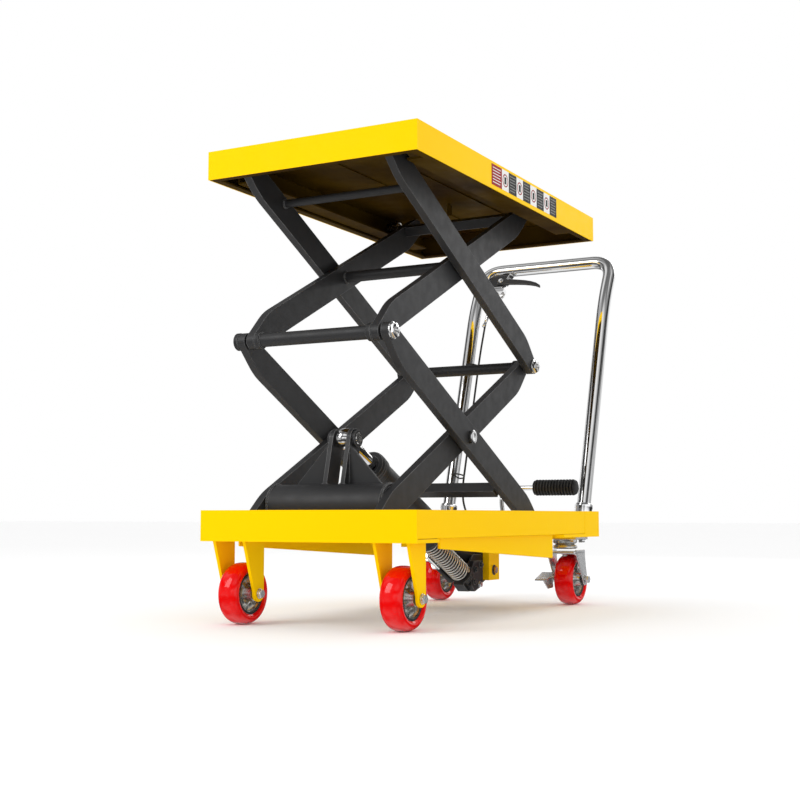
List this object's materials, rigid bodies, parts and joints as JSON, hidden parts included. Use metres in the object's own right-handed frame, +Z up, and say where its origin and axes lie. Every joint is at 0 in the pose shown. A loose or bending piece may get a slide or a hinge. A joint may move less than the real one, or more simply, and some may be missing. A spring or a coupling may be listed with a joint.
{
  "type": "scissor lift table",
  "caption": "Wheeled double-scissor lift table with a flat platform, foot-pumped hydraulic ram, swivel braked rear castors and a U-shaped push handle with a hand release.",
  "frame": {"origin": "on the floor under the middle of the overall box, handle included", "axes": "+X across the table to its right, +Y towards the push handle, +Z up"},
  "size_m": [0.516, 1.3307, 1.014],
  "materials": {
    "yellow_paint": "glossy yellow powder coat",
    "black_paint": "satin black powder coat",
    "chrome": "bright plated steel",
    "zinc": "zinc plated steel",
    "red_tyre": "glossy red polyurethane",
    "wheel_core": "turned steel hub with a dark rim ring",
    "rubber": "matt black rubber"
  },
  "bodies": {
    "base": {"base_front_beam": "yellow_paint", "base_rear_beam": "yellow_paint", "base_cross_beam": "yellow_paint", "base_rail_left": "yellow_paint", "base_rail_right": "yellow_paint", "front_fork_left": "yellow_paint", "front_fork_right": "yellow_paint", "front_axle_left": "zinc", "front_axle_right": "zinc", "swivel_plate_left": "zinc", "swivel_plate_right": "zinc", "push_handle": "chrome", "handle_socket_left": "chrome", "handle_socket_right": "chrome", "lever_bracket": "black_paint", "release_cable": "rubber"},
    "front_wheel_left": {"front_tyre_left": "red_tyre", "front_wheel_core_left": "wheel_core"},
    "front_wheel_right": {"front_tyre_right": "red_tyre", "front_wheel_core_right": "wheel_core"},
    "swivel_left": {"swivel_fork_left": "zinc", "rear_axle_left": "zinc"},
    "swivel_right": {"swivel_fork_right": "zinc", "rear_axle_right": "zinc"},
    "rear_wheel_left": {"rear_tyre_left": "red_tyre", "rear_wheel_core_left": "wheel_core"},
    "rear_wheel_right": {"rear_tyre_right": "red_tyre", "rear_wheel_core_right": "wheel_core"},
    "brake_left": {"foot_brake_left": "zinc"},
    "brake_right": {"foot_brake_right": "zinc"},
    "lower_inner": {"lower_inner_arm_left": "black_paint", "lower_inner_arm_right": "black_paint", "lift_beam": "black_paint", "ram_pin": "chrome", "rear_middle_axle": "black_paint"},
    "lower_outer": {"lower_outer_arm_left": "black_paint", "lower_outer_arm_right": "black_paint", "lower_tie_bar": "black_paint"},
    "upper_outer": {"upper_outer_arm_left": "black_paint", "upper_outer_arm_right": "black_paint", "upper_cross_tube": "black_paint"},
    "upper_inner": {"upper_inner_arm_left": "black_paint", "upper_inner_arm_right": "black_paint", "front_middle_axle": "black_paint", "upper_centre_tube": "black_paint", "upper_tie_bar": "black_paint"},
    "platform": {"platform": "yellow_paint"},
    "lower_roller_left": {"lower_roller_left": "zinc"},
    "lower_roller_right": {"lower_roller_right": "zinc"},
    "upper_roller_left": {"upper_roller_left": "zinc"},
    "upper_roller_right": {"upper_roller_right": "zinc"},
    "pump": {"ram_barrel": "black_paint", "pump_block": "black_paint", "pump_spring": "zinc"},
    "rod": {"ram_rod": "chrome"},
    "piston": {"pump_piston": "chrome"},
    "pedal": {"pedal_arm": "chrome", "pedal_pad": "rubber"},
    "lever": {"release_lever": "black_paint"}
  },
  "joints": [
    {"name": "lift", "type": "hinge", "parent": "base", "child": "lower_inner", "pos_m": [0, -0.6285, 0.2115], "axis": [1, 0, 0], "range_deg": [-23.7, 11]},
    {"name": "lower_centre", "type": "hinge", "parent": "lower_inner", "child": "lower_outer", "pos_m": [0, -0.2638, 0.40339], "axis": [1, 0, 0], "range_deg": [-22.1, 47.5]},
    {"name": "rear_middle", "type": "hinge", "parent": "lower_inner", "child": "upper_outer", "pos_m": [0, 0.09956, 0.59796], "axis": [1, 0, 0], "range_deg": [-22.1, 47.5]},
    {"name": "upper_centre", "type": "hinge", "parent": "upper_outer", "child": "upper_inner", "pos_m": [0, -0.2638, 0.79253], "axis": [1, 0, 0], "range_deg": [-47.5, 22.1]},
    {"name": "front_top", "type": "hinge", "parent": "upper_outer", "child": "platform", "pos_m": [0, -0.6285, 0.98442], "axis": [1, 0, 0], "range_deg": [-23.75, 11.05]},
    {"name": "ram_foot", "type": "hinge", "parent": "base", "child": "pump", "pos_m": [0, 0.1255, 0.093], "axis": [1, 0, 0], "range_deg": [-1.1, 2.3]},
    {"name": "ram_eye", "type": "hinge", "parent": "lower_inner", "child": "rod", "pos_m": [0, -0.5035, 0.392], "axis": [1, 0, 0], "range_deg": [-12.1, 26]},
    {"name": "pedal_pivot", "type": "hinge", "parent": "pump", "child": "pedal", "pos_m": [-0.047, 0.1765, 0.085], "axis": [1, 0, 0], "range_deg": [-16, 0], "stiffness_Nm_per_rad": 30, "springref_deg": 17.19},
    {"name": "piston_slide", "type": "slide", "parent": "pump", "child": "piston", "axis": [0, 0.9054, -0.4245], "range_m": [0, 0.0225], "deforming": ["pump_spring"]},
    {"name": "lever_pivot", "type": "hinge", "parent": "base", "child": "lever", "pos_m": [-0.134, 0.62513, 0.91685], "axis": [0, -0.8735, 0.4868], "range_deg": [0, 16], "stiffness_Nm_per_rad": 1.5, "springref_deg": -17.19},
    {"name": "front_roll_left", "type": "hinge", "parent": "base", "child": "front_wheel_left", "pos_m": [-0.1935, -0.5995, 0.065], "axis": [1, 0, 0], "continuous": true},
    {"name": "front_roll_right", "type": "hinge", "parent": "base", "child": "front_wheel_right", "pos_m": [0.1935, -0.5995, 0.065], "axis": [1, 0, 0], "continuous": true},
    {"name": "swivel_left", "type": "hinge", "parent": "base", "child": "swivel_left", "pos_m": [-0.19, 0.2815, 0.14], "axis": [0, 0, 1], "continuous": true},
    {"name": "swivel_right", "type": "hinge", "parent": "base", "child": "swivel_right", "pos_m": [0.19, 0.2815, 0.14], "axis": [0, 0, 1], "continuous": true},
    {"name": "rear_roll_left", "type": "hinge", "parent": "swivel_left", "child": "rear_wheel_left", "pos_m": [-0.19, 0.3195, 0.065], "axis": [1, 0, 0], "continuous": true},
    {"name": "rear_roll_right", "type": "hinge", "parent": "swivel_right", "child": "rear_wheel_right", "pos_m": [0.19, 0.3195, 0.065], "axis": [1, 0, 0], "continuous": true},
    {"name": "brake_left", "type": "hinge", "parent": "swivel_left", "child": "brake_left", "pos_m": [-0.19, 0.3195, 0.065], "axis": [1, 0, 0], "range_deg": [0, 10]},
    {"name": "brake_right", "type": "hinge", "parent": "swivel_right", "child": "brake_right", "pos_m": [0.19, 0.3195, 0.065], "axis": [1, 0, 0], "range_deg": [0, 10]},
    {"name": "lower_roll_left", "type": "hinge", "parent": "lower_outer", "child": "lower_roller_left", "pos_m": [-0.21, 0.10089, 0.2115], "axis": [1, 0, 0], "continuous": true},
    {"name": "lower_roll_right", "type": "hinge", "parent": "lower_outer", "child": "lower_roller_right", "pos_m": [0.21, 0.10089, 0.2115], "axis": [1, 0, 0], "continuous": true},
    {"name": "upper_roll_left", "type": "hinge", "parent": "upper_inner", "child": "upper_roller_left", "pos_m": [-0.21, 0.10089, 0.98442], "axis": [1, 0, 0], "continuous": true},
    {"name": "upper_roll_right", "type": "hinge", "parent": "upper_inner", "child": "upper_roller_right", "pos_m": [0.21, 0.10089, 0.98442], "axis": [1, 0, 0], "continuous": true}
  ],
  "couplings": [
    {"joint": "lower_centre", "follows": "lift", "ratio": -2},
    {"joint": "rear_middle", "follows": "lift", "ratio": -2},
    {"joint": "upper_centre", "follows": "lift", "ratio": 2},
    {"joint": "front_top", "follows": "lift", "ratio": 1},
    {"joint": "ram_foot", "follows": "lift", "ratio": -0.094},
    {"joint": "ram_eye", "follows": "lift", "ratio": -1.094},
    {"joint": "piston_slide", "follows": "pedal_pivot", "m_per_rad": -0.08}
  ]
}
